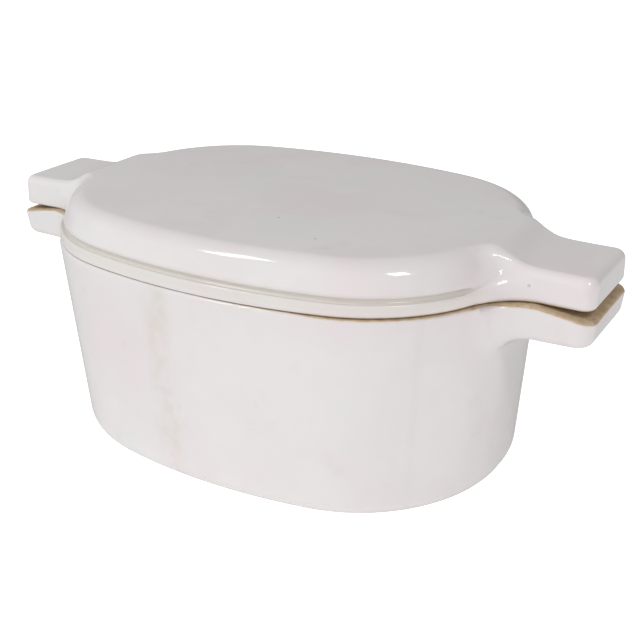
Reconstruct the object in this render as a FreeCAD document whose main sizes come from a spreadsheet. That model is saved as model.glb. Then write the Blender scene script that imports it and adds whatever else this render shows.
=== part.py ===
import FreeCAD, Part
import math
import os

# Lidded oval casserole in glazed stoneware: a deep pot with two tab handles and a
# flat-topped lid with matching tabs that drops into the pot's mouth.
# Frame: origin at the centre of the foot, on the table plane.
# X runs from handle to handle, Y across the dish, Z up.  Millimetres.

os.makedirs("parts", exist_ok=True)
doc = FreeCAD.newDocument("casserole")

# ---------------------------------------------------------------- dimension sheet
DIMS = [
    # name, value, meaning
    ("rim_z", 108.7, "height of the pot's rim, where the lid sits"),
    ("top_z", 132.8, "height of the lid's flat top"),
    ("half_width", 94.8, "half width of the lid's rim oval"),
    ("half_length", 128.1, "half length of the lid's rim oval, without handles"),
    ("side_radius", 316.3, "radius of the long side arcs of the rim oval"),
    ("corner_radius", 78.5, "radius of the four quarter arcs of the rim oval"),
    ("end_radius", 639.0, "radius of the short end arcs of the rim oval"),
    ("pot_rim_grow", 0.8, "pot rim beyond the lid rim"),
    ("base_half_width", 90.0, "half width of the pot at the table"),
    ("base_half_length", 123.5, "half length of the pot at the table, without handles"),
    ("base_side_radius", 290.0, "radius of the base oval's side arcs"),
    ("base_corner_radius", 84.0, "radius of the base oval's quarter arcs"),
    ("base_end_radius", 700.0, "radius of the base oval's end arcs"),
    ("base_edge_r", 9.0, "rounding where the wall meets the foot"),
    ("wall", 6.5, "thickness of the pot's wall"),
    ("floor", 7.5, "thickness of the pot's floor above the table plane"),
    ("inner_floor_r", 14.0, "rounding inside, where wall meets floor"),
    ("foot_recess", 2.0, "depth of the recess inside the foot ring"),
    ("foot_ring", 7.0, "width of the foot ring"),
    ("rim_edge_r", 1.6, "easing of the pot's outer rim edge"),
    ("well_lip_r", 1.2, "rounding of the pot's inner rim edge"),
    ("neck_radius", 20.0, "hollow radius where a handle grows out of the oval"),
    ("pot_tab_half", 29.8, "half width of the pot's handle at its top"),
    ("pot_tab_end", 172.0, "reach of the pot's handle along X"),
    ("pot_tab_undercut", 3.0, "how far the pot handle's foot is set back"),
    ("pot_tab_corner", 8.0, "corner radius of the pot's handle, seen from above"),
    ("pot_tab_root_z", 89.9, "underside of the pot's handle at the wall"),
    ("pot_tab_tip_z", 91.0, "underside of the pot's handle at its end"),
    ("pot_tab_droop", 5.5, "fall of the handle's top face from root to end"),
    ("droop_start", 144.0, "X at which the pot handle's top starts to fall"),
    ("under_tab_r", 12.0, "hollow rounding between the pot's handle and the wall below it"),
    ("flank_z", 60.0, "height where the handle's flanks start out of the wall"),
    ("flank_shrink", 4.4, "inset of the flanks' outline there, just inside the wall"),
    ("flank_narrower", 18.0, "how much narrower than the handle the flanks start"),
    ("root_shrink", 1.9, "inset of the same outline at the root of the underside"),
    ("root_wall_inset", 1.7, "how far inside the rim oval's end the underside is cut"),
    ("pot_tab_edge_r", 3.0, "rounding of the pot handle's lower edges"),
    ("bead_z", 117.0, "height of the groove above the lid's rounded rim"),
    ("bead_inset", 2.0, "depth of that groove"),
    ("shoulder_z", 125.7, "height of the middle of the lid's shoulder"),
    ("shoulder_inset", 5.2, "inset of the lid's shoulder at its middle"),
    ("top_inset", 9.5, "inset of the lid's flat top from its rim"),
    ("top_edge_r", 4.5, "rounding around the lid's top and handle tops"),
    ("lid_tab_half", 26.7, "half width of the lid's handle at its foot"),
    ("lid_tab_taper", 1.0, "how much narrower the lid's handle is at its top"),
    ("lid_tab_end", 170.3, "reach of the lid's handle along X"),
    ("lid_tab_corner", 6.5, "corner radius of the lid's handle, seen from above"),
    ("lid_tab_z", 124.4, "height of the lid handle's top face"),
    ("slope_start", 116.0, "X where the lid's top starts down to the handle"),
    ("slope_end", 144.0, "X where the slope has reached the handle's top"),
    ("lid_skin", 6.6, "thickness of the lid's top"),
    ("flange_depth", 8.0, "how far the locating flange hangs below the rim"),
    ("flange_gap", 1.6, "clearance between flange and pot mouth"),
    ("flange_wall", 5.2, "thickness of the locating flange"),
    ("flange_edge_r", 1.5, "rounding of the flange's lower edges"),
    ("lid_hollow_r", 7.0, "rounding inside the lid, where wall meets top"),
]

sheet = doc.addObject("Spreadsheet::Sheet", "dims")
for row, (name, value, meaning) in enumerate(DIMS, start=1):
    sheet.set("A%d" % row, name)
    sheet.set("B%d" % row, str(value))
    sheet.set("C%d" % row, meaning)
    sheet.setAlias("B%d" % row, name)
doc.recompute()
D = {name: sheet.get(name) for name, _, _ in DIMS}


# ---------------------------------------------------------------- outlines
def circles_meet(c0, r0, c1, r1):
    """Meeting point of two circles with the larger x + y."""
    dx = c1[0] - c0[0]
    dy = c1[1] - c0[1]
    dist = math.hypot(dx, dy)
    along = (dist * dist + r0 * r0 - r1 * r1) / (2 * dist)
    off = math.sqrt(r0 * r0 - along * along)
    ux, uy = dx / dist, dy / dist
    found = []
    for sign in (1, -1):
        x = c0[0] + ux * along - sign * uy * off
        y = c0[1] + uy * along + sign * ux * off
        found.append((x, y))
    return max(found, key=sum)


def oval_centres(grow, prefix=""):
    """Radii and centres of an oval's arcs, pushed outward by grow.

    The prefix picks the sheet rows: none for the rim oval, "base_" for the base oval.
    """
    half_width, half_length = D[prefix + "half_width"], D[prefix + "half_length"]
    side = D[prefix + "side_radius"]
    corner = D[prefix + "corner_radius"]
    end = D[prefix + "end_radius"]
    side_c = (0.0, half_width - side)
    end_c = (half_length - end, 0.0)
    corner_c = circles_meet(side_c, side - corner, end_c, end - corner)
    return {
        "side": (side_c, side + grow),
        "corner": (corner_c, corner + grow),
        "end": (end_c, end + grow),
    }


def polar(centre, radius, angle):
    return (centre[0] + radius * math.cos(angle), centre[1] + radius * math.sin(angle))


def heading(a, b):
    return math.atan2(b[1] - a[1], b[0] - a[0])


def arc_between(centre, radius, start, stop):
    """Points start, middle and stop of an arc given by two angles."""
    middle = 0.5 * (start + stop)
    return ("arc",) + tuple(polar(centre, radius, t) for t in (start, middle, stop))


def quarter_oval(grow, prefix=""):
    """First-quadrant pieces of a plain oval, from the Y axis to the X axis."""
    arcs = oval_centres(grow, prefix)
    side_c, side_r = arcs["side"]
    corner_c, corner_r = arcs["corner"]
    end_c, end_r = arcs["end"]
    join_side = heading(side_c, corner_c)
    join_end = heading(end_c, corner_c)
    return [
        arc_between(side_c, side_r, math.pi / 2, join_side),
        arc_between(corner_c, corner_r, join_side, join_end),
        arc_between(end_c, end_r, join_end, 0.0),
    ]


def quarter_with_tab(grow, half, reach, corner):
    """First-quadrant pieces of the oval with a handle tab, Y axis to X axis."""
    arcs = oval_centres(grow)
    side_c, side_r = arcs["side"]
    corner_c, corner_r = arcs["corner"]
    neck = D["neck_radius"]
    join_side = heading(side_c, corner_c)
    rise = half + neck - corner_c[1]
    neck_c = (corner_c[0] + math.sqrt((corner_r + neck) ** 2 - rise ** 2), half + neck)
    join_neck = heading(corner_c, neck_c)
    tip_c = (reach - corner, half - corner)
    return [
        arc_between(side_c, side_r, math.pi / 2, join_side),
        arc_between(corner_c, corner_r, join_side, join_neck),
        arc_between(neck_c, neck, join_neck + math.pi, 1.5 * math.pi),
        ("line", (neck_c[0], half), (tip_c[0], half)),
        arc_between(tip_c, corner, math.pi / 2, 0.0),
        ("line", (reach, tip_c[1]), (reach, 0.0)),
    ]


def mirrored(pieces, sx, sy):
    """Mirror quadrant pieces; an odd number of mirrors reverses the travel."""
    flipped = []
    for piece in pieces:
        points = [(sx * x, sy * y) for x, y in piece[1:]]
        if sx * sy < 0:
            points.reverse()
        flipped.append((piece[0],) + tuple(points))
    if sx * sy < 0:
        flipped.reverse()
    return flipped


def join_halves(pieces):
    """Merge the two side arcs, and the two end pieces, that meet on an axis."""
    merged = []
    for piece in pieces:
        last = merged[-1] if merged else None
        if last and last[0] == piece[0] and meets_on_axis(last, piece):
            middle = (last[-1],) if piece[0] == "arc" else ()
            merged[-1] = (piece[0], last[1]) + middle + (piece[-1],)
        else:
            merged.append(piece)
    return merged


def meets_on_axis(first, second):
    x, y = second[1]
    joined = math.hypot(first[-1][0] - x, first[-1][1] - y) < 1e-6
    return joined and (abs(x) < 1e-6 or abs(y) < 1e-6)


def full_outline(quarter):
    """Closed outline, clockwise from the middle of the +Y side's right half."""
    loop = quarter[1:] + mirrored(quarter, 1, -1) + mirrored(quarter, -1, -1)
    loop += mirrored(quarter, -1, 1) + quarter[:1]
    return join_halves(loop)


# ---------------------------------------------------------------- sketch helpers
def vec(point):
    return FreeCAD.Vector(point[0], point[1], 0)


def origin_plane(body, role):
    for feature in body.Origin.OriginFeatures:
        if feature.Role == role:
            return feature
    raise ValueError("no plane " + role)


def sketch(body, name, plane, pieces, height=None):
    """Sketch on one of the body's own planes, lifted to a sheet height."""
    sk = body.newObject("Sketcher::SketchObject", name)
    sk.AttachmentSupport = [(origin_plane(body, plane), "")]
    sk.MapMode = "FlatFace"
    if height:
        sk.setExpression("AttachmentOffset.Base.z", height)
    for piece in pieces:
        if piece[0] == "arc":
            start, middle, stop = (vec(p) for p in piece[1:])
            sk.addGeometry(Part.Arc(start, middle, stop), False)
        else:
            sk.addGeometry(Part.LineSegment(vec(piece[1]), vec(piece[2])), False)
    return sk


def polygon(points):
    """Closed straight-sided outline through the points."""
    ends = points[1:] + points[:1]
    return [("line", a, b) for a, b in zip(points, ends)]


def loft(body, kind, name, sections, ruled=False):
    """Loft through (height expression, outline) sections."""
    sketches = []
    for index, (height, pieces) in enumerate(sections):
        sketches.append(sketch(body, "%s_s%d" % (name, index), "XY_Plane", pieces, height))
    feature = body.newObject("PartDesign::" + kind, name)
    feature.Profile = (sketches[0], [""])
    feature.Sections = [(sk, [""]) for sk in sketches[1:]]
    feature.Ruled = ruled
    doc.recompute()
    return feature


def round_edges(body, name, radius, wanted):
    """Fillet every edge of the body that the wanted test picks out."""
    base = body.Tip
    picked = []
    for number, edge in enumerate(base.Shape.Edges, start=1):
        if wanted(edge):
            picked.append("Edge%d" % number)
    fillet = body.newObject("PartDesign::Fillet", name)
    fillet.Base = (base, picked)
    fillet.setExpression("Radius", radius)
    doc.recompute()
    return fillet


def loop_round(body, name, radius, wanted_face, wanted_edge=lambda e: True):
    """Fillet the border of a patch of faces: the edges only one of them owns."""
    owners = {}
    for face in body.Tip.Shape.Faces:
        if wanted_face(face):
            for edge in face.Edges:
                owners[edge.hashCode()] = owners.get(edge.hashCode(), 0) + 1
    return round_edges(body, name, radius, lambda e: owners.get(e.hashCode()) == 1 and wanted_edge(e))


def normal_z(face):
    """Vertical part of a face's outward normal at its middle."""
    u0, u1, v0, v1 = face.ParameterRange
    return face.normalAt(0.5 * (u0 + u1), 0.5 * (v0 + v1)).z


def flat_at(edge, z):
    """True for an edge lying wholly at height z."""
    box = edge.BoundBox
    return abs(box.ZMin - z) < 1e-3 and abs(box.ZMax - z) < 1e-3


def new_body(name, label):
    body = doc.addObject("PartDesign::Body", name)
    body.Label = label
    body.Placement = FreeCAD.Placement()
    return body


# ---------------------------------------------------------------- pot
def side_cut(body, name, pieces):
    """Cut a side profile, given in X and Z, right across the body."""
    cut = body.newObject("PartDesign::Pocket", name)
    cut.Profile = sketch(body, name + "_profile", "XZ_Plane", pieces)
    cut.Type = "ThroughAll"
    cut.Midplane = True
    doc.recompute()
    return cut


def both_ends(body, name, quarter_pieces):
    """Cut the same side profile at the +X end and, mirrored, at the -X end."""
    side_cut(body, name + "_right", quarter_pieces)
    side_cut(body, name + "_left", mirrored(quarter_pieces, -1, 1))


def rim_ring(grow):
    """Wide frame around the rim outline, pushed outward by grow."""
    far_x = D["pot_tab_end"] + 10
    far_y = D["half_width"] + 20
    frame = polygon([(far_x, far_y), (far_x, -far_y), (-far_x, -far_y), (-far_x, far_y)])
    half = D["pot_tab_half"] + grow
    reach = D["pot_tab_end"] + grow
    hole = quarter_with_tab(D["pot_rim_grow"] + grow, half, reach, D["pot_tab_corner"] + grow)
    return frame + full_outline(hole)


def pot_tab_section(shrink, narrower, setback):
    """Outline of the pot with its handles at one height."""
    grow = D["pot_rim_grow"] - shrink
    half = D["pot_tab_half"] - narrower
    reach = D["pot_tab_end"] - setback
    return full_outline(quarter_with_tab(grow, half, reach, D["pot_tab_corner"]))


def droop_profile():
    """Wedge above the handle's top face, which falls towards its end."""
    rim = D["rim_z"]
    tip = D["pot_tab_end"] + 5
    start = D["droop_start"]
    return polygon([(start, rim), (tip, rim - D["pot_tab_droop"]), (tip, rim + 5), (start, rim + 5)])


def underside_profile():
    """Space under the handle, rounded where its underside meets the wall."""
    wall_x = D["half_length"] - D["root_wall_inset"]
    radius = D["under_tab_r"]
    root = D["pot_tab_root_z"]
    tip = D["pot_tab_end"] + 5
    low = D["flank_z"] - 5
    centre = (wall_x + radius, root - radius)
    arc = arc_between(centre, radius, math.pi, math.pi / 2)
    corners = [arc[3], (tip, D["pot_tab_tip_z"]), (tip, low), (wall_x, low), arc[1]]
    return [arc] + [("line", a, b) for a, b in zip(corners, corners[1:])]


def under_handle(face):
    """True for the downward faces of a handle."""
    middle = face.CenterOfMass
    return 80 < middle.z < 96 and abs(middle.x) > D["half_length"] and normal_z(face) < -0.9


def not_across_root(edge):
    """Leaves out the line where a handle's underside meets its root."""
    return edge.BoundBox.XLength > 0.5 or abs(edge.CenterOfMass.x) > 150


def on_well_lip(edge):
    """True for the top edges of the well, inside the rim."""
    reach = D["half_width"] - 0.5 * D["wall"]
    box = edge.BoundBox
    inside = box.YMax < reach and box.YMin > -reach and abs(edge.CenterOfMass.x) < 0.96 * D["half_length"]
    return flat_at(edge, D["rim_z"]) and inside


def make_pot():
    pot = new_body("pot", "pot")

    # slab that carries both handles, trimmed above and below
    slab = [
        ("dims.flank_z", pot_tab_section(D["flank_shrink"], D["flank_narrower"], 6.0)),
        ("dims.pot_tab_root_z", pot_tab_section(D["root_shrink"], 1.6, D["pot_tab_undercut"])),
        ("dims.rim_z", pot_tab_section(0.05, 0.0, 0.0)),
    ]
    loft(pot, "AdditiveLoft", "handle_slab", slab)
    both_ends(pot, "droop", droop_profile())
    both_ends(pot, "underside", underside_profile())

    # tapered oval wall
    outer = [
        (None, full_outline(quarter_oval(0.0, "base_"))),
        ("dims.rim_z", full_outline(quarter_oval(D["pot_rim_grow"]))),
    ]
    loft(pot, "AdditiveLoft", "wall_outer", outer)
    round_edges(pot, "base_edge", "dims.base_edge_r", lambda e: flat_at(e, 0.0))

    # eased outer edge of the rim
    ring = [
        ("dims.rim_z - dims.rim_edge_r", rim_ring(0.03)),
        ("dims.rim_z - dims.rim_edge_r * 0.3", rim_ring(-0.3 * D["rim_edge_r"])),
        ("dims.rim_z + 0.1", rim_ring(-D["rim_edge_r"])),
    ]
    loft(pot, "SubtractiveLoft", "rim_easing", ring, True)

    # cooking well
    wall = D["wall"]
    inner = [
        ("dims.floor", full_outline(quarter_oval(-wall, "base_"))),
        ("dims.rim_z", full_outline(quarter_oval(D["pot_rim_grow"] - wall))),
    ]
    loft(pot, "SubtractiveLoft", "well", inner)
    round_edges(pot, "well_floor", "dims.inner_floor_r", lambda e: flat_at(e, D["floor"]))

    # recess inside the foot ring
    recess = pot.newObject("PartDesign::Pocket", "foot_recess_cut")
    inset = -D["base_edge_r"] - D["foot_ring"]
    outline = full_outline(quarter_oval(inset, "base_"))
    recess.Profile = sketch(pot, "foot_recess_outline", "XY_Plane", outline)
    recess.setExpression("Length", "dims.foot_recess")
    recess.Reversed = True
    doc.recompute()

    # eased lower edges of the handles and lip of the well
    loop_round(pot, "handle_edges", "dims.pot_tab_edge_r", under_handle, not_across_root)
    round_edges(pot, "well_lip", "dims.well_lip_r", on_well_lip)
    return pot


# ---------------------------------------------------------------- lid
def lid_tab_section(inset, narrower):
    """Outline of the lid with its handles at one height."""
    half = D["lid_tab_half"] - narrower
    reach = D["lid_tab_end"] - narrower
    return full_outline(quarter_with_tab(-inset, half, reach, D["lid_tab_corner"]))


def slope_profile():
    """Space above the handle: a soft S from the flat top down to the handle's top."""
    top = D["top_z"]
    low = D["lid_tab_z"]
    start = D["slope_start"]
    stop = D["slope_end"]
    run = stop - start
    drop = top - low
    radius = (run * run + drop * drop) / (4 * drop)
    half_turn = math.asin(run / (2 * radius))
    upper = arc_between((start, top - radius), radius, math.pi / 2, math.pi / 2 - half_turn)
    lower = arc_between((stop, low + radius), radius, 1.5 * math.pi - half_turn, 1.5 * math.pi)
    tip = D["lid_tab_end"] + 5
    corners = [lower[3], (tip, low), (tip, top + 5), (start, top + 5), upper[1]]
    return [upper, lower] + [("line", a, b) for a, b in zip(corners, corners[1:])]


def on_top(face):
    """True for the upward faces: flat top, slopes and handle tops."""
    return face.CenterOfMass.z > D["lid_tab_z"] - 0.3 and normal_z(face) > 0.5


def on_ceiling(edge):
    return flat_at(edge, D["top_z"] - D["lid_skin"])


def on_flange_foot(edge):
    return flat_at(edge, D["rim_z"] - D["flange_depth"])


def make_lid():
    lid = new_body("lid", "lid")

    # rounded rim, then the shoulder up to the flat top
    rim = [
        ("dims.rim_z", lid_tab_section(0.9, 0.9)),
        ("dims.rim_z + (dims.bead_z - dims.rim_z) * 0.5", lid_tab_section(0.0, 0.0)),
        ("dims.bead_z", lid_tab_section(D["bead_inset"], 0.1)),
    ]
    loft(lid, "AdditiveLoft", "rim_bead", rim)
    shoulder = [
        ("dims.bead_z", lid_tab_section(D["bead_inset"], 0.1)),
        ("dims.shoulder_z", lid_tab_section(D["shoulder_inset"], 0.5 * D["lid_tab_taper"])),
        ("dims.top_z", lid_tab_section(D["top_inset"], D["lid_tab_taper"])),
    ]
    loft(lid, "AdditiveLoft", "shoulder", shoulder)
    both_ends(lid, "slope", slope_profile())

    # locating flange that drops into the pot's mouth
    flange_grow = D["pot_rim_grow"] - D["wall"] - D["flange_gap"]
    flange = lid.newObject("PartDesign::Pad", "flange")
    outline = full_outline(quarter_oval(flange_grow))
    flange.Profile = sketch(lid, "flange_outline", "XY_Plane", outline, "dims.rim_z")
    flange.setExpression("Length", "dims.flange_depth")
    flange.Reversed = True
    doc.recompute()

    # hollow underneath
    hollow_grow = flange_grow - D["flange_wall"]
    hollow = lid.newObject("PartDesign::Pocket", "hollow")
    outline = full_outline(quarter_oval(hollow_grow))
    flange_foot = "dims.rim_z - dims.flange_depth"
    hollow.Profile = sketch(lid, "hollow_outline", "XY_Plane", outline, flange_foot)
    hollow.setExpression("Length", "dims.top_z - dims.lid_skin - dims.rim_z + dims.flange_depth")
    hollow.Reversed = True
    doc.recompute()

    # soft edges around the top, inside the hollow and on the flange
    loop_round(lid, "top_edge", "dims.top_edge_r", on_top)
    round_edges(lid, "hollow_edge", "dims.lid_hollow_r", on_ceiling)
    round_edges(lid, "flange_edge", "dims.flange_edge_r", on_flange_foot)
    return lid


def check_and_export(bodies):
    """Stop on any broken feature, then write one file per sub-part."""
    doc.recompute()
    for item in doc.Objects:
        if "Invalid" in item.State or "Error" in item.State:
            raise RuntimeError("broken feature " + item.Name)
    for body in bodies:
        shape = body.Shape
        if shape.isNull() or not shape.isValid() or len(shape.Solids) != 1:
            raise RuntimeError("bad shape " + body.Label)
        shape.exportStep("parts/%s.step" % body.Label)
        print(body.Label, round(shape.Volume / 1000.0, 1), "cm3")


check_and_export([make_pot(), make_lid()])
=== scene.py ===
import math

import bpy
import numpy as np
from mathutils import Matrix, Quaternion, Vector


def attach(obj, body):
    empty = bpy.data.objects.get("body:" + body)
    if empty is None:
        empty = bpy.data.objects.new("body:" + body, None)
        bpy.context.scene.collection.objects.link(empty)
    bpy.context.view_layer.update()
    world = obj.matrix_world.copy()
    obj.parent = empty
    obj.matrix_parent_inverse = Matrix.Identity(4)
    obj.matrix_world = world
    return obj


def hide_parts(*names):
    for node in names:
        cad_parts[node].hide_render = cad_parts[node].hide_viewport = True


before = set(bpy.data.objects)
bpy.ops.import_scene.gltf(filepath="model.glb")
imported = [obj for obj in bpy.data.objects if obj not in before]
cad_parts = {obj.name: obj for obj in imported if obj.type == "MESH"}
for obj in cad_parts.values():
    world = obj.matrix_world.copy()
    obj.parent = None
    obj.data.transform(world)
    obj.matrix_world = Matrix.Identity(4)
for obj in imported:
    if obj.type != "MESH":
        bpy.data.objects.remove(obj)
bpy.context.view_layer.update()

MM = 0.001

# ------------------------------------------------------------------ dimensions, mm
RIM_Z = 108.7                    # plane where the lid sits on the pot
TOP_Z = 132.8                    # flat top of the lid
POT_TAB = dict(half=29.8, reach=172.0, corner=8.0)
LID_TAB = dict(half=26.7, reach=170.3, corner=6.5)
NECK_R = 20.0                    # hollow fillet where a handle leaves the oval

WALL_T = 6.5                     # pot
RIM_OVER = 0.8                   # how far the pot's rim stands out past the lid's
FOOT_R = 9.0
WELL_FLOOR_Z, WELL_R = 7.5, 14.0
RECESS_IN, RECESS_Z = 16.0, 2.0
RIM_EDGE_R, WELL_EDGE_R = 1.7, 1.4
TAB_UNDER_Z, TAB_UNDER_R = 90.0, 4.0
TAB_FLARE_Z, TAB_FLARE_H = 91.0, 17.5
DROOP_X, DROOP = 144.0, 0.167    # where and how steeply the handle tops fall away

BEAD_Z, BEAD_R = 116.1, 1.9      # lid
GROOVE_Z, GROOVE_IN, GROOVE_R = 116.5, 2.2, 1.3
GROOVE_FADE = 116.0, 124.0       # the groove dies out between these x, at the handles
RIDGE_Z, RIDGE_IN, RIDGE_R = 120.2, 1.9, 1.9
RIDGE_FLARE, RIDGE_FLARE_H = 0.6, 1.1
CAP_IN, CAP_LEAN = 2.55, 0.42
TOP_R, TOP_EDGE = 6.5, 4.5
LID_TAB_Z, LID_TAB_R = 124.4, 4.2
SLOPE_X, SLOPE, SLOPE_SOFT = 133.9, 0.8, 5.2
FLANGE_IN, FLANGE_DEPTH = 7.3, 8.0
HOLLOW_IN, HOLLOW_R, LID_T = 12.5, 7.0, 6.6


class Oval:
    """Eight-arc oval: side, corner and end arcs, with an exact signed distance."""

    def __init__(self, half_length, half_width, side, corner, end):
        self.radii = side, corner, end
        self.side_c = np.array([0.0, half_width - side])
        self.end_c = np.array([half_length - end, 0.0])
        gap = self.end_c - self.side_c
        dist = np.linalg.norm(gap)
        a, b = side - corner, end - corner
        along = (dist ** 2 + a ** 2 - b ** 2) / (2 * dist)
        off = math.sqrt(a * a - along * along)
        u = gap / dist
        meets = [self.side_c + along * u + sign * off * np.array([-u[1], u[0]]) for sign in (1, -1)]
        self.corner_c = max(meets, key=lambda point: point.sum())

    def distance(self, x, y):
        """Signed distance in plan, negative inside."""
        ax, ay = np.abs(x), np.abs(y)
        side_r, corner_r, end_r = self.radii
        (_, sy), (ex, _), (cx, cy) = self.side_c, self.end_c, self.corner_c
        side = np.hypot(ax, ay - sy) - side_r
        corner = np.hypot(ax - cx, ay - cy) - corner_r
        end = np.hypot(ax - ex, ay) - end_r
        in_side = cx * (ay - sy) - (cy - sy) * ax > 0
        in_end = (cx - ex) * ay - cy * (ax - ex) < 0
        return np.where(in_side, side, np.where(in_end, end, corner))


RIM = Oval(128.1, 94.8, 316.3, 78.5, 639.0)
BASE = Oval(123.5, 90.0, 290.0, 84.0, 700.0)
R_SIDE, R_CORNER, R_END = RIM.radii
SIDE_C, CORNER_C, END_C = RIM.side_c, RIM.corner_c, RIM.end_c

# ------------------------------------------------------------------ distance fields
def wall_distance(x, y, z):
    """Distance to the pot's tapered wall, from the base oval to just beyond the lid's rim."""
    t = z / RIM_Z
    return (1.0 - t) * BASE.distance(x, y) + t * (RIM.distance(x, y) - RIM_OVER)


def cut_round(a, b, r):
    """Intersection of two fields with a rounded edge of radius r."""
    ua, ub = np.maximum(r + a, 0.0), np.maximum(r + b, 0.0)
    return np.minimum(-r, np.maximum(a, b)) + np.hypot(ua, ub)


def join_round(a, b, r):
    """Union of two fields with a hollow fillet of radius r."""
    ua, ub = np.maximum(r - a, 0.0), np.maximum(r - b, 0.0)
    return np.maximum(r, np.minimum(a, b)) - np.hypot(ua, ub)


def ramp(t, lo, hi):
    """Smooth step from 0 at lo to 1 at hi."""
    s = np.clip((t - lo) / (hi - lo), 0.0, 1.0)
    return s * s * (3.0 - 2.0 * s)


def tab_plan(x, y, half, reach, corner):
    """Signed distance in plan to the bar that carries both handles."""
    qx = np.abs(x) - (reach - corner)
    qy = np.abs(y) - (half - corner)
    outside = np.hypot(np.maximum(qx, 0.0), np.maximum(qy, 0.0))
    return outside + np.minimum(np.maximum(qx, qy), 0.0) - corner


def pot_top(x):
    """Height of the rim, falling away along the handles."""
    over = np.abs(x) - DROOP_X
    return RIM_Z - DROOP * 0.5 * (over + np.sqrt(over * over + 9.0))


def pot_field(p):
    """Signed distance to the pot: wall, handles, rim, well and foot recess."""
    x, y, z = p.T
    d = wall_distance(x, y, z)
    wall = cut_round(d, -z, FOOT_R)
    ax = np.abs(x)
    lift = np.clip(z - TAB_FLARE_Z, 0.0, TAB_FLARE_H) / TAB_FLARE_H
    half = POT_TAB["half"] - 1.6 * (1.0 - lift)
    reach = POT_TAB["reach"] - 2.0 * (1.0 - lift)
    plan = tab_plan(x, y, half, reach, POT_TAB["corner"])
    under = TAB_UNDER_Z + 0.02 * np.maximum(ax - 128.0, 0.0) - z
    tab = cut_round(plan, under, TAB_UNDER_R)
    body = join_round(wall, tab, 15.0 + 5.0 * ramp(z, 87.0, 103.0))
    body = cut_round(body, z - pot_top(x), RIM_EDGE_R)
    well = cut_round(d + WALL_T, WELL_FLOOR_Z - z, WELL_R)
    body = cut_round(body, -well, WELL_EDGE_R)
    recess = cut_round(BASE.distance(x, y) + RECESS_IN, z - RECESS_Z, 1.0)
    return cut_round(body, -recess, 0.8)


def tab_height(x):
    """Top of the lid's handles, sweeping up towards the flat top."""
    u = SLOPE_X - np.abs(x)
    return LID_TAB_Z + SLOPE * 0.5 * (u + np.sqrt(u * u + SLOPE_SOFT ** 2))


def lid_field(p):
    """Signed distance to the lid: bead, groove, cap, handles, flange and hollow."""
    x, y, z = p.T
    d = RIM.distance(x, y)
    bead = cut_round(d, z - BEAD_Z, BEAD_R)
    flare = RIDGE_FLARE * np.exp(-((z - RIDGE_Z + 0.4) / RIDGE_FLARE_H) ** 2)
    slope = (d + CAP_IN + CAP_LEAN * (z - RIDGE_Z) - flare) / math.hypot(1.0, CAP_LEAN)
    cap = cut_round(d + RIDGE_IN, slope, RIDGE_R)
    body = join_round(bead, cap, 0.7)
    groove = np.hypot(d + GROOVE_IN, z - GROOVE_Z) - GROOVE_R + 4.0 * ramp(np.abs(x), *GROOVE_FADE)
    body = cut_round(body, -groove, 1.0)
    half = LID_TAB["half"] - 0.06 * np.clip(z - RIM_Z, 0.0, 16.0)
    plan = tab_plan(x, y, half, LID_TAB["reach"], LID_TAB["corner"])
    tab = cut_round(plan, (z - tab_height(x)) * 0.93, LID_TAB_R)
    body = join_round(body, tab, 19.0 - 9.0 * ramp(z, GROOVE_Z, TOP_Z - 5.0))
    body = cut_round(body, z - TOP_Z, TOP_R)
    body = cut_round(body, RIM_Z - z, 1.3 + 1.7 * ramp(x, -10.0, 110.0))
    flange = cut_round(d + FLANGE_IN, RIM_Z - FLANGE_DEPTH - z, 1.5)
    flange = np.maximum(flange, z - RIM_Z - 6.5)
    body = join_round(body, flange, 1.2)
    hollow = cut_round(d + HOLLOW_IN, z - (TOP_Z - LID_T), HOLLOW_R)
    return cut_round(body, -hollow, 1.5)


def gradient(field, p, step=0.04):
    """Central differences of a field at many points."""
    g = np.empty_like(p)
    for axis in range(3):
        shift = np.zeros(3)
        shift[axis] = step
        g[:, axis] = (field(p + shift) - field(p - shift)) / (2 * step)
    return g


def settle(field, p, rounds=8, upright=0.0, reach=1.5):
    """Move points onto the zero surface of a field, a short step at a time.

    upright is 0 to follow the field's gradient and 1 to move straight up or down.
    """
    for _ in range(rounds):
        g = gradient(field, p)
        way = g.copy()
        way[:, :2] *= np.reshape(1.0 - upright, (-1, 1))
        size = np.maximum((g * way).sum(1), 0.05)
        step = way * (field(p) / size)[:, None]
        length = np.linalg.norm(step, axis=1)
        p = p - step * (reach / np.maximum(length, reach))[:, None]
    return p


# ------------------------------------------------------------------ columns round the outline
def unit(v):
    return v / np.linalg.norm(v)


def oval_at(y):
    """Point and outward normal of the rim oval's end at a given y."""
    split = CORNER_C[1] * R_END / (R_END - R_CORNER)
    centre, radius = (CORNER_C, R_CORNER) if y > split else (END_C, R_END)
    x = centre[0] + math.sqrt(radius ** 2 - (y - centre[1]) ** 2)
    point = np.array([x, y])
    return point, unit(point - centre)


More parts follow.
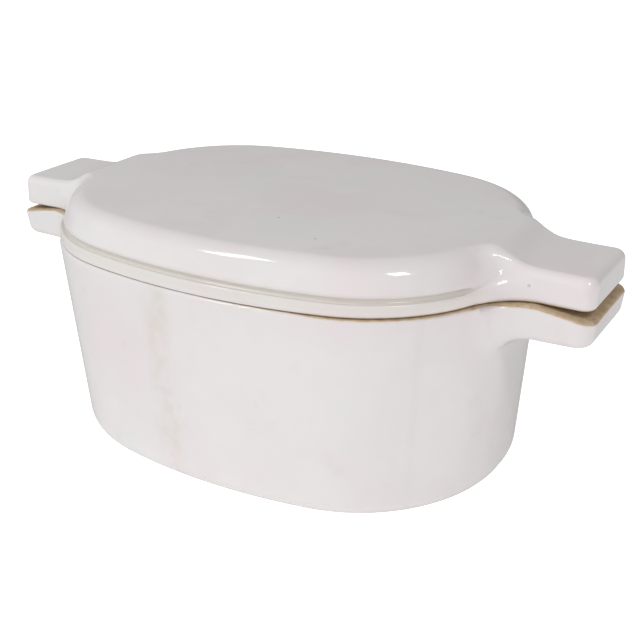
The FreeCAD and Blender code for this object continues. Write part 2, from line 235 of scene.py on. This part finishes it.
def columns(half, reach, corner):
    """Outline samples of one quadrant: point, normal, matching point on the oval, normal."""
    def arc(centre, radius, start, stop, count, flip=1.0):
        """Samples from one angle to another; flip is -1 for a hollow arc."""
        out = []
        for t in np.linspace(start, stop, count, endpoint=False):
            n = np.array([math.cos(t), math.sin(t)])
            out.append((centre + radius * n, flip * n))
        return out

    join_side = math.atan2(CORNER_C[1] - SIDE_C[1], CORNER_C[0])
    rise = half + NECK_R - CORNER_C[1]
    neck = np.array([CORNER_C[0] + math.sqrt((R_CORNER + NECK_R) ** 2 - rise ** 2), half + NECK_R])
    join_neck = math.atan2(neck[1] - CORNER_C[1], neck[0] - CORNER_C[0])
    plain = arc(SIDE_C, R_SIDE, math.pi / 2, join_side, 30)
    plain += arc(CORNER_C, R_CORNER, join_side, join_neck, 46)
    tip = np.array([reach - corner, half - corner])
    tab = arc(neck, NECK_R, join_neck + math.pi, 1.5 * math.pi, 22, -1.0)
    for x in np.linspace(neck[0], tip[0], 10, endpoint=False):
        tab.append((np.array([x, half]), np.array([0.0, 1.0])))
    tab += arc(tip, corner, math.pi / 2, 0.0, 12)
    for y in np.linspace(tip[1], 0.0, 9):
        tab.append((np.array([reach, y]), np.array([1.0, 0.0])))
    start_y = tab[0][0][1]
    knots = [0, 22, 32, 44, len(tab) - 1]
    levels = [start_y, half - 5.0, half - 10.0, half - 16.0, 0.0]
    out = [(p, n, p, n) for p, n in plain]
    for i, (p, n) in enumerate(tab):
        q, nq = oval_at(float(np.interp(i, knots, levels)))
        out.append((p, n, q, nq))
    return out


def all_columns(tab):
    """The quadrant mirrored into a closed ring, as arrays P, NP, Q, NQ."""
    quad = columns(**tab)
    ring = []
    for sx, sy, backwards in ((1, 1, False), (1, -1, True), (-1, -1, False), (-1, 1, True)):
        flip = np.array([sx, sy], float)
        part = [tuple(v * flip for v in item) for item in quad]
        if backwards:
            part = part[::-1]
        if ring and np.linalg.norm(ring[-1][0] - part[0][0]) < 1e-6:
            part = part[1:]
        ring += part
    if np.linalg.norm(ring[-1][0] - ring[0][0]) < 1e-6:
        ring = ring[:-1]
    return [np.array([item[k] for item in ring]) for k in range(4)]


def station_grid(tab, stations):
    """Starting points: each station is (lam, off, z_oval, z_tab, off_tab, shrink)."""
    P, NP, Q, NQ = all_columns(tab)
    away = np.linalg.norm(P - Q, axis=1)
    w = ramp(away, 0.5, 12.0)             # 0 on the plain oval, 1 over a handle
    rows = []
    for lam, off, z_oval, z_tab, off_tab, shrink in stations:
        normal = NQ + lam * (NP - NQ)
        push = off + w * (off_tab - off)
        plan = (Q + lam * (P - Q) + normal * push[:, None]) * shrink
        tip = np.maximum(np.abs(plan[:, 0]) - DROOP_X, 0.0)
        z = z_oval + w * (z_tab(tip) if callable(z_tab) else z_tab) - w * z_oval
        rows.append(np.column_stack([plan, z]))
    return np.array(rows), w


def top_grid(tab, profile, w):
    """Rows over the lid's top: profile on the oval, straight runs in from the handle's edge."""
    P, NP, Q, NQ = all_columns(tab)
    start, stop = P - TOP_EDGE * NP, Q + profile[-1][0] * NQ
    rows = []
    for k, (off, z) in enumerate(profile):
        s = (k + 1) / len(profile)
        plan = (1 - w)[:, None] * (Q + off * NQ) + w[:, None] * (start + s * (stop - start))
        rise = (TOP_Z - LID_TAB_Z) * ramp(s, 0.3, 0.8)
        rows.append(np.column_stack([plan, (1 - w) * z + w * (LID_TAB_Z + rise)]))
    return np.array(rows)


def between(a, b, count, end=False):
    """Evenly spaced numbers from a to b, without b unless end is set."""
    return list(np.linspace(a, b, count, endpoint=end))


def arc_steps(off0, z0, r, a0, a1, count):
    """Offset and height along an arc centred at (off0, z0), angles in degrees."""
    out = []
    for t in np.radians(np.linspace(a0, a1, count)):
        out.append((off0 + r * math.cos(t), z0 + r * math.sin(t)))
    return out


def pot_stations():
    """From the middle of the underside, out, up the wall, over the rim and into the well."""
    rows = [(0, -17.4, 2.0, 2.0, -17.4, s) for s in (0.03, 0.2, 0.4, 0.6, 0.75, 0.87, 0.95)]
    rows += [(0, off, z, z, off, 1) for off, z in
             ((-17.4, 2.0), (-16.6, 1.9), (-16.1, 1.2), (-16.0, 0.7), (-15.7, 0.2), (-15.1, 0.0))]
    rows += [(0, off, 0.0, 0.0, off, 1) for off in (-13.1, -11.1)]
    rows += [(0, off, z, z, off, 1) for off, z in arc_steps(-9.0, 9.0, 9.0, -90, 0, 9)]
    rows += [(0, 0.0, z, z, 0.0, 1) for z in between(13.0, 68.0, 12)]
    wall = between(68.0, 106.0, 31)
    tab = [(0.0, z, -1.4) for z in between(68.0, 79.5, 5)]
    tab += [(0.02, 82.2, -0.6), (0.05, 85.2, 0.0), (0.11, 87.8, 0.0), (0.2, 89.4, 0.0)]
    tab += [(lam, 90.3, 0.0) for lam in between(0.28, 0.86, 11, True)]
    tab += [(1.0, 90.8 + up, off) for off, up in
            ((-3.4, 0.1), (-2.2, 0.4), (-1.2, 1.0), (-0.5, 2.0), (-0.1, 3.4))]
    tab += [(1.0, lambda t, f=f: 95.5 + (10.5 - DROOP * t) * f, 0.0) for f in between(0.0, 1.0, 6)]
    for z, (lam, z_tab, off_tab) in zip(wall, tab):
        rows.append((lam, 0.0, z, z_tab, off_tab, 1))

    def top(t):
        return RIM_Z - DROOP * t

    for off, z in arc_steps(-1.7 + 0.8, RIM_Z - 1.7, 1.7, 5, 90, 6):
        drop = RIM_Z - z
        rows.append((1, off, z, (lambda t, drop=drop: top(t) - drop), off - 0.8, 1))
    for lam in between(0.95, 0.0, 19, True):
        off = -0.9 - 3.0 * (1 - lam)
        rows.append((lam, off, RIM_Z, top, off, 1))
    rows += [(0, off, z, z, off, 1) for off, z in arc_steps(-4.3, RIM_Z - 1.4, -1.4, -90, 0, 5)]
    rows += [(0, -6.0, z, z, -6.0, 1) for z in between(105.0, 23.0, 16)]
    rows += [(0, off, z, z, off, 1) for off, z in arc_steps(-20.5, 21.5, 14.0, 0, -90, 10)]
    rows += [(0, -20.5, 7.5, 7.5, -20.5, s) for s in (0.93, 0.84, 0.7, 0.5, 0.3, 0.15, 0.03)]
    return rows


def lid_stations():
    """From the middle of the ceiling, down the flange, over the rim and across the top."""
    rows = [(0, -19.5, 126.2, 126.2, -19.5, s) for s in (0.03, 0.2, 0.4, 0.6, 0.8, 0.92)]
    rows += [(0, off, z, z, off, 1) for off, z in arc_steps(-19.5, 119.2, 7.0, 90, 0, 8)]
    rows += [(0, -12.5, z, z, -12.5, 1) for z in (116.2, 112.2, 108.2, 104.7)]
    rows += [(0, off, z, z, off, 1) for off, z in arc_steps(-11.0, 102.2, -1.5, 0, 90, 4)]
    rows += [(0, -9.9, 100.7, 100.7, -9.9, 1)]
    rows += [(0, off, z, z, off, 1) for off, z in arc_steps(-8.8, 102.2, 1.5, -90, 0, 4)]
    rows += [(0, -7.3, z, z, -7.3, 1) for z in (103.7, 105.7, 107.2)]
    rows += [(0, off, z, z, off, 1) for off, z in arc_steps(-6.1, 107.5, -1.2, 0, -90, 4)]
    for lam in between(0.0, 1.0, 10):
        off = -5.6 + 3.8 * lam
        rows.append((lam, off, RIM_Z, RIM_Z, off, 1))
    rows += [(1, off, z, z, off, 1) for off, z in arc_steps(-1.3, RIM_Z + 1.3, 1.3, -90, 0, 6)]
    profile = [(0, 111), (0, 112.2), (0, 113.4), (-0.05, 114.3), (-0.3, 115.0), (-0.7, 115.45),
               (-1.1, 115.45), (-1.5, 115.2), (-2.2, 114.95), (-3.0, 115.2), (-3.5, 115.7),
               (-3.7, 116.3), (-3.65, 117.0), (-3.2, 117.6), (-2.5, 118.1), (-2.0, 118.6),
               (-1.85, 119.3), (-2.0, 120.3), (-2.7, 121.5)]
    side = between(111, 120.4, 11) + [121.1, 122, 122.8, 123.4, 123.9, 124.2, 124.4, 124.5]
    edge = [0.0] * 11 + [-0.15, -0.5, -1.0, -1.6, -2.3, -3.0, -3.7, -4.5]
    for (off, z), z_tab, off_tab in zip(profile, side, edge):
        rows.append((1, off, z, z_tab, off_tab, 1))
    return rows


def lid_top():
    """Profile over the shoulder and onto the flat top."""
    return [(-3.7, 123), (-4.2, 124.2), (-4.7, 125.4), (-5.2, 126.6), (-5.7, 127.6), (-6.2, 128.6),
            (-6.7, 129.5), (-7.2, 130.2), (-7.8, 130.9), (-8.5, 131.5), (-9.2, 132), (-10.0, 132.4),
            (-10.9, 132.65), (-11.9, 132.75), (-13.0, 132.8), (-14.5, 132.8), (-16.5, 132.8),
            (-19.0, 132.8), (-22.0, 132.8)]


# ------------------------------------------------------------------ meshes
def relax(field, grid, w, first, last, rounds):
    """Even out the spacing over the handles, keeping every point on the surface."""
    shape = grid.shape
    fade = np.minimum(np.arange(shape[0]) - first, last - np.arange(shape[0]))
    weight = np.clip(fade / 3.0, 0.0, 1.0)[:, None] * ramp(w, 0.0, 0.3)[None, :]
    for _ in range(rounds):
        beside = np.roll(grid, 1, 1) + np.roll(grid, -1, 1)
        along = np.roll(grid, 1, 0) + np.roll(grid, -1, 0)
        moved = grid + (0.5 * weight)[:, :, None] * (0.25 * (beside + along) - grid)
        grid = settle(field, moved.reshape(-1, 3), 2).reshape(shape)
    return grid


def untangle(field, grid, first, last, rounds=12):
    """Smooth the few vertices whose faces still point the wrong way."""
    for _ in range(rounds):
        a, b = grid[first:last], np.roll(grid, -1, 1)[first:last]
        d, c = grid[first + 1:last + 1], np.roll(grid, -1, 1)[first + 1:last + 1]
        face = np.cross(c - a, d - b)
        out = gradient(field, ((a + b + c + d) / 4.0).reshape(-1, 3)).reshape(face.shape)
        sizes = np.linalg.norm(face, axis=2) * np.linalg.norm(out, axis=2)
        side = (face * out).sum(2) / (sizes + 1e-9)
        bad = side * np.sign(np.median(side)) < 0.3
        if not bad.any():
            break
        hit = np.zeros(grid.shape[:2], bool)
        for row in (0, 1):
            for shift in (-1, 0, 1, 2):
                hit[first + row:last + row] |= np.roll(bad, shift, 1)
        hit[1:] |= hit[:-1]
        hit[:-1] |= hit[1:]
        around = sum(np.roll(grid, step, axis) for step in (1, -1) for axis in (0, 1)) / 4.0
        grid = np.where(hit[:, :, None], around, grid)
    return grid


def pot_grid():
    """The pot's starting rows, drawn in to follow the taper and settled on its surface."""
    stations = pot_stations()
    grid, w = station_grid(POT_TAB, stations)
    _, _, Q, NQ = all_columns(POT_TAB)
    shrink = np.array([station[5] for station in stations])[:, None, None]
    taper = (1.0 - grid[:, :, 2:] / RIM_Z) * BASE.distance(Q[:, 0], Q[:, 1])[None, :, None]
    grid[:, :, :2] -= shrink * taper * NQ
    grid = settle(pot_field, grid.reshape(-1, 3), 14).reshape(grid.shape)
    return relax(pot_field, grid, w, 42, 80, 18)


def lid_grid():
    """The lid's starting rows, settled on its surface; rows over a handle move upright."""
    lower, w = station_grid(LID_TAB, lid_stations())
    upper = top_grid(LID_TAB, lid_top(), w)
    centre, _ = station_grid(LID_TAB, [(0, -22.0, TOP_Z, TOP_Z, -22.0, s)
                                       for s in (0.95, 0.88, 0.75, 0.55, 0.35, 0.18, 0.03)])
    grid = np.concatenate([lower, upper, centre])
    upright = np.zeros(grid.shape[:2])
    upright[len(lower):len(lower) + len(upper)] = w
    grid = settle(lid_field, grid.reshape(-1, 3), 14, upright.reshape(-1)).reshape(grid.shape)
    grid = relax(lid_field, grid, w, 40, 90, 12)
    return untangle(lid_field, grid, 44, 86)


def shell(name, body, node, field, grid):
    """Closed mesh over a settled grid, with the field's own normals."""
    rows, cols, _ = grid.shape
    flat = grid.reshape(-1, 3)
    normal = gradient(field, flat)
    normal /= np.maximum(np.linalg.norm(normal, axis=1), 1e-9)[:, None]
    verts = np.vstack([flat, grid[0].mean(0), grid[-1].mean(0)])
    normals = np.vstack([normal, normal[:cols].mean(0), normal[-cols:].mean(0)])
    i = np.arange(rows - 1)[:, None]
    j = np.arange(cols)[None, :]
    k = (j + 1) % cols
    quads = np.stack([i * cols + j, i * cols + k, (i + 1) * cols + k, (i + 1) * cols + j], -1)
    faces = quads.reshape(-1, 4).tolist()
    first, last, last_row = rows * cols, rows * cols + 1, (rows - 1) * cols
    for c in range(cols):
        n = (c + 1) % cols
        faces.append((first, n, c))
        faces.append((last, last_row + c, last_row + n))
    mesh = bpy.data.meshes.new(name)
    mesh.from_pydata((verts * MM).tolist(), [], faces)
    mesh.update()
    for poly in mesh.polygons:
        poly.use_smooth = True
    sample = mesh.polygons[len(faces) // 2]
    if np.dot(np.array(sample.normal), normals[list(sample.vertices)].mean(0)) < 0:
        mesh.flip_normals()
    mesh.normals_split_custom_set_from_vertices(normals.tolist())
    obj = bpy.data.objects.new(name, mesh)
    bpy.context.scene.collection.objects.link(obj)
    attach(obj, body)
    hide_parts(node)
    return obj


def tag(obj, name, values):
    """Store one number per vertex for the material to read."""
    layer = obj.data.attributes.new(name, "FLOAT", "POINT")
    layer.data.foreach_set("value", np.asarray(values, dtype=np.float32))


def points(obj):
    """Vertex positions in millimetres."""
    return np.array([v.co for v in obj.data.vertices]) / MM


pot = shell("pot_shell", "pot", "pot", pot_field, pot_grid())
lid = shell("lid_shell", "lid", "lid", lid_field, lid_grid())


# ------------------------------------------------------------------ materials
def bare_pot(p):
    """Millimetres inside the unglazed rim, handle tops and foot ring."""
    x, y, z = p.T
    below = pot_top(x) - z
    front = -0.7 + 1.2 * ramp(x, -20.0, 90.0)
    handles = -0.7 + 1.3 * ramp(np.abs(x), 118.0, 132.0)
    band = np.maximum(front, handles) + 0.3 * ramp(x, 128.0, 140.0)
    rim = np.where(wall_distance(x, y, z) < -1.6, 1.2, band) - below
    foot = 0.6 - z
    return np.maximum(rim, np.where(BASE.distance(x, y) < -16.5, -1.0, foot))


def bare_lid(p):
    """Millimetres inside the unglazed seat of the lid."""
    x, y, z = p.T
    return -1.0 + 2.1 * ramp(x, -20.0, 90.0) + ramp(-x, 122.0, 132.0) - np.abs(z - RIM_Z)


def cream_and_groove_shade(p):
    """Creamier glaze on the bead round the lid, and creamier glaze darkened as painted shade in the
    groove, 0 to 1.
    """
    x, y, z = p.T
    d = RIM.distance(x, y)
    # painted shade: the glaze is tinted darker and creamier towards the middle of the groove
    groove = 1.0 - ramp(np.hypot(d + 2.6, z - GROOVE_Z), 0.8, 3.2)
    # the bead's own cream tint, not shade
    bead = ramp(z, RIM_Z + 0.5, RIM_Z + 4.0) * ramp(-z, -GROOVE_Z - 1.0, -GROOVE_Z + 1.0)
    bead = bead * ramp(d, -4.0, -3.0)
    return np.maximum(groove, 0.7 * bead * (1.0 - ramp(np.abs(x), 118.0, 130.0)))


tag(pot, "bare", bare_pot(points(pot)))
tag(lid, "bare", bare_lid(points(lid)))
tag(pot, "cream_and_groove_shade", np.zeros(len(pot.data.vertices)))
tag(lid, "cream_and_groove_shade", cream_and_groove_shade(points(lid)))


class Graph:
    """Small helper for building a node material."""

    def __init__(self, name):
        self.mat = bpy.data.materials.new(name)
        self.mat.use_nodes = True
        self.nodes, self.links = self.mat.node_tree.nodes, self.mat.node_tree.links
        self.shader = self.nodes["Principled BSDF"]
        self.place = self.nodes.new("ShaderNodeTexCoord").outputs["Object"]

    def feed(self, socket, value):
        """Link another node's output, or set a plain value."""
        if isinstance(value, bpy.types.NodeSocket):
            self.links.new(value, socket)
        else:
            socket.default_value = value

    def noise(self, scale, detail=2.0, rough=0.5, shift=0.0):
        """Soft noise; shift picks a different slice for each use."""
        node = self.nodes.new("ShaderNodeTexNoise")
        node.noise_dimensions = "4D"
        self.links.new(self.place, node.inputs["Vector"])
        for key, value in (("Scale", scale), ("Detail", detail), ("Roughness", rough), ("W", shift)):
            node.inputs[key].default_value = value
        return node.outputs["Fac"]

    def spots(self, scale):
        """Scattered cells: distance to the nearest centre, and a colour for each cell."""
        node = self.nodes.new("ShaderNodeTexVoronoi")
        self.links.new(self.place, node.inputs["Vector"])
        node.inputs["Scale"].default_value = scale
        return node.outputs["Distance"], node.outputs["Color"]

    def span(self, value, low, high, to_low=0.0, to_high=1.0):
        """Smooth step from one range to another."""
        node = self.nodes.new("ShaderNodeMapRange")
        node.interpolation_type = "SMOOTHSTEP"
        self.feed(node.inputs["Value"], value)
        limits = {"From Min": low, "From Max": high, "To Min": to_low, "To Max": to_high}
        for key, number in limits.items():
            node.inputs[key].default_value = number
        return node.outputs["Result"]

    def sum(self, kind, a, b):
        """Arithmetic on two values, such as ADD or MULTIPLY."""
        node = self.nodes.new("ShaderNodeMath")
        node.operation = kind
        self.feed(node.inputs[0], a)
        self.feed(node.inputs[1], b)
        return node.outputs["Value"]

    def mix(self, factor, a, b):
        """Blend of two colours."""
        node = self.nodes.new("ShaderNodeMix")
        node.data_type = "RGBA"
        self.feed(node.inputs["Factor"], factor)
        for key, value in (("A", a), ("B", b)):
            socket = next(item for item in node.inputs if item.name == key and item.type == "RGBA")
            self.feed(socket, value if isinstance(value, bpy.types.NodeSocket) else (*value, 1.0))
        return next(item for item in node.outputs if item.type == "RGBA")

    def blendf(self, factor, a, b):
        """Blend of two numbers."""
        node = self.nodes.new("ShaderNodeMix")
        node.data_type = "FLOAT"
        for key, value in (("Factor", factor), ("A", a), ("B", b)):
            self.feed(node.inputs[key], value)
        return node.outputs["Result"]

    def attribute(self, name):
        """Number stored on the vertices."""
        node = self.nodes.new("ShaderNodeAttribute")
        node.attribute_name = name
        return node.outputs["Fac"]

    def axis(self, index):
        """One coordinate of the place being shaded, in metres."""
        node = self.nodes.new("ShaderNodeSeparateXYZ")
        self.links.new(self.place, node.inputs["Vector"])
        return node.outputs[index]

    def bump(self, height, strength, distance, under=None):
        """Surface detail, laid over an earlier bump if one is given."""
        node = self.nodes.new("ShaderNodeBump")
        node.inputs["Strength"].default_value = strength
        node.inputs["Distance"].default_value = distance
        self.links.new(height, node.inputs["Height"])
        if under is not None:
            self.links.new(under, node.inputs["Normal"])
        return node.outputs["Normal"]


WHITE = (0.735, 0.715, 0.705)
PINK = (0.735, 0.672, 0.682)
COOL = (0.690, 0.700, 0.705)
TAN_STAIN = (0.60, 0.53, 0.45)
# cream of the glaze on the bead, also laid into the groove as painted shade
CREAM_AND_GROOVE_SHADE = (0.66, 0.62, 0.53)
SPECK = (0.22, 0.19, 0.16)
CLAY_LIGHT = (0.56, 0.44, 0.30)
CLAY_DARK = (0.43, 0.31, 0.19)
STAIN_X = 0.021                  # a faint streak runs down the front wall at minus this x, metres


def glaze():
    """Glossy off-white glaze, faintly mottled, running out to bare tan clay."""
    g = Graph("glaze")
    colour = g.mix(g.span(g.noise(16.0, 3.0, 0.55), 0.38, 0.66), WHITE, PINK)
    colour = g.mix(g.span(g.noise(22.0, 3.0, 0.6, 4.0), 0.48, 0.78, 0.0, 0.8), colour, COOL)
    smudge = g.span(g.noise(46.0, 4.0, 0.65, 9.0), 0.57, 0.74, 0.0, 0.20)
    colour = g.mix(smudge, colour, TAN_STAIN)

    across = g.sum("ABSOLUTE", g.sum("ADD", g.axis(0), STAIN_X), 0.0)
    streak = g.span(across, 0.002, 0.012, 0.42, 0.0)
    streak = g.sum("MULTIPLY", streak, g.span(g.noise(60.0, 3.0, 0.6, 2.0), 0.35, 0.7))
    streak = g.sum("MULTIPLY", streak, g.span(g.axis(1), -0.07, -0.08))
    streak = g.sum("MULTIPLY", streak, g.span(g.axis(2), 0.112, 0.104))
    colour = g.mix(streak, colour, TAN_STAIN)
    # cream tint on the bead; in the groove the same tint darkens the glaze as painted shade
    colour = g.mix(g.sum("MULTIPLY", g.attribute("cream_and_groove_shade"), 0.45), colour, CREAM_AND_GROOVE_SHADE)

    near, cell = g.spots(64.0)
    pick = g.nodes.new("ShaderNodeSeparateColor")
    g.links.new(cell, pick.inputs["Color"])
    size = g.span(pick.outputs["Red"], 0.80, 1.0, 0.0, 0.062)
    speck = g.sum("GREATER_THAN", g.sum("SUBTRACT", size, near), 0.0)
    shade = g.blendf(pick.outputs["Green"], 0.15, 0.75)
    colour = g.mix(g.sum("MULTIPLY", speck, shade), colour, SPECK)

    ragged = g.blendf(g.noise(90.0, 3.0, 0.55, 3.0), -0.5, 0.5)
    inside = g.sum("ADD", g.attribute("bare"), ragged)
    bare = g.span(inside, -0.25, 0.30)
    halo = g.span(inside, -1.1, 0.2, 0.0, 0.45)
    clay = g.mix(g.span(g.noise(260.0, 5.0, 0.7, 6.0), 0.35, 0.66), CLAY_LIGHT, CLAY_DARK)
    colour = g.mix(halo, colour, TAN_STAIN)
    colour = g.mix(bare, colour, clay)

    g.feed(g.shader.inputs["Base Color"], colour)
    gloss = g.span(g.noise(55.0, 3.0, 0.6, 7.0), 0.3, 0.75, 0.07, 0.14)
    g.feed(g.shader.inputs["Roughness"], g.blendf(bare, gloss, 0.82))
    wave = g.bump(g.noise(26.0, 1.5, 0.5, 5.0), 0.25, 0.0016)
    peel = g.bump(g.noise(420.0, 2.0, 0.5, 8.0), 0.05, 0.0004, wave)
    grit = g.bump(g.sum("MULTIPLY", g.noise(1100.0, 3.0, 0.7, 1.0), bare), 0.5, 0.0004, peel)
    g.feed(g.shader.inputs["Normal"], grit)
    return g.mat


white = glaze()
pot.data.materials.append(white)
lid.data.materials.append(white)

# ------------------------------------------------------------------ floor, light, camera
bpy.ops.mesh.primitive_plane_add(size=6.0, location=(0, 0, 0))
floor = bpy.context.object
floor.name = "floor"


FLOOR_GLOW, FLOOR_BOUNCE, FLOOR_GLOSS = 1.0, 0.72, 0.15
SOFT_AZ, SOFT_EL = -26.0, 0.0
SOFT_LOW, SOFT_HIGH, SOFT_SEEN = 0.18, 0.97, 1.05


def choose(tree, when, yes, no):
    """Value that depends on a light-path output; no may be another such value."""
    node = tree.nodes.new("ShaderNodeMix")
    node.data_type = "FLOAT"
    tree.links.new(when, node.inputs["Factor"])
    node.inputs["B"].default_value = yes
    if isinstance(no, bpy.types.NodeSocket):
        tree.links.new(no, node.inputs["A"])
    else:
        node.inputs["A"].default_value = no
    return node.outputs["Result"]


def floor_material():
    """Pale matt sweep with a faint paper grain: white to the eye, dimmer in reflections."""
    mat = bpy.data.materials.new("paper")
    mat.use_nodes = True
    nodes, links = mat.node_tree.nodes, mat.node_tree.links
    b = nodes["Principled BSDF"]
    b.inputs["Roughness"].default_value = 0.9
    b.inputs["Emission Color"].default_value = (1, 1, 1, 1)
    grain = nodes.new("ShaderNodeTexNoise")
    grain.inputs["Scale"].default_value = 60.0
    tint = nodes.new("ShaderNodeMix")
    tint.data_type = "RGBA"
    tint.inputs["A"].default_value = (0.52, 0.52, 0.52, 1)
    tint.inputs["B"].default_value = (0.55, 0.55, 0.55, 1)
    links.new(grain.outputs["Fac"], tint.inputs["Factor"])
    links.new(tint.outputs["Result"], b.inputs["Base Color"])
    path = nodes.new("ShaderNodeLightPath")
    bounced = choose(mat.node_tree, path.outputs["Is Diffuse Ray"], FLOOR_BOUNCE, FLOOR_GLOSS)
    glow = choose(mat.node_tree, path.outputs["Is Camera Ray"], FLOOR_GLOW, bounced)
    links.new(glow, b.inputs["Emission Strength"])
    return mat


floor.data.materials.append(floor_material())


def compass(azimuth, elevation):
    """Unit vector; azimuth in degrees from -Y towards +X."""
    a, e = math.radians(azimuth), math.radians(elevation)
    return Vector((math.sin(a) * math.cos(e), -math.cos(a) * math.cos(e), math.sin(e)))


def studio():
    """Pale surround: white to the eye, as light strongest from the front left."""
    world = bpy.data.worlds.new("studio")
    bpy.context.scene.world = world
    world.use_nodes = True
    nodes, links = world.node_tree.nodes, world.node_tree.links
    out = nodes["Background"]
    coord = nodes.new("ShaderNodeTexCoord")
    dot = nodes.new("ShaderNodeVectorMath")
    dot.operation = "DOT_PRODUCT"
    dot.inputs[1].default_value = compass(SOFT_AZ, SOFT_EL)
    links.new(coord.outputs["Generated"], dot.inputs[0])
    span = nodes.new("ShaderNodeMapRange")
    span.inputs["From Min"].default_value = -1.0
    span.inputs["From Max"].default_value = 1.0
    span.inputs["To Min"].default_value = SOFT_LOW
    span.inputs["To Max"].default_value = SOFT_HIGH
    links.new(dot.outputs["Value"], span.inputs["Value"])
    path = nodes.new("ShaderNodeLightPath")
    seen = choose(world.node_tree, path.outputs["Is Camera Ray"], SOFT_SEEN, span.outputs["Result"])
    links.new(seen, out.inputs["Strength"])
    out.inputs["Color"].default_value = (1, 1, 1, 1)


studio()


def softbox(name, azimuth, elevation, distance, width, height, power):
    """Upright rectangular light aimed at the dish."""
    data = bpy.data.lights.new(name, "AREA")
    data.shape = "RECTANGLE"
    data.size, data.size_y = width, height
    data.energy = power
    obj = bpy.data.objects.new(name, data)
    target = Vector((0.0, 0.0, 0.1))
    way = compass(azimuth, elevation)
    obj.location = target + distance * way
    obj.rotation_euler = way.to_track_quat("Z", "Y").to_euler()
    bpy.context.scene.collection.objects.link(obj)


softbox("softbox_left", -44, 52, 1.6, 0.20, 0.40, 4.2)
softbox("softbox_right", 56, 46, 1.6, 0.28, 0.42, 4.5)

VIEW_AZ, VIEW_EL, VIEW_ROLL = 30.35, 23.70, -0.276
FOCAL = 1081.52 / 640.0          # focal length over the picture's width

cam_data = bpy.data.cameras.new("camera")
cam_data.sensor_width = 36.0
cam_data.lens = cam_data.sensor_width * FOCAL
cam = bpy.data.objects.new("camera", cam_data)
cam.location = Vector((0.287466, -0.465472, 0.299734))
aim = compass(VIEW_AZ, VIEW_EL).to_track_quat("Z", "Y")
roll = Quaternion((0, 0, 1), math.radians(VIEW_ROLL))
cam.rotation_euler = (aim @ roll).to_euler()
bpy.context.scene.collection.objects.link(cam)
bpy.context.scene.camera = cam
bpy.context.scene.view_settings.view_transform = "Standard"
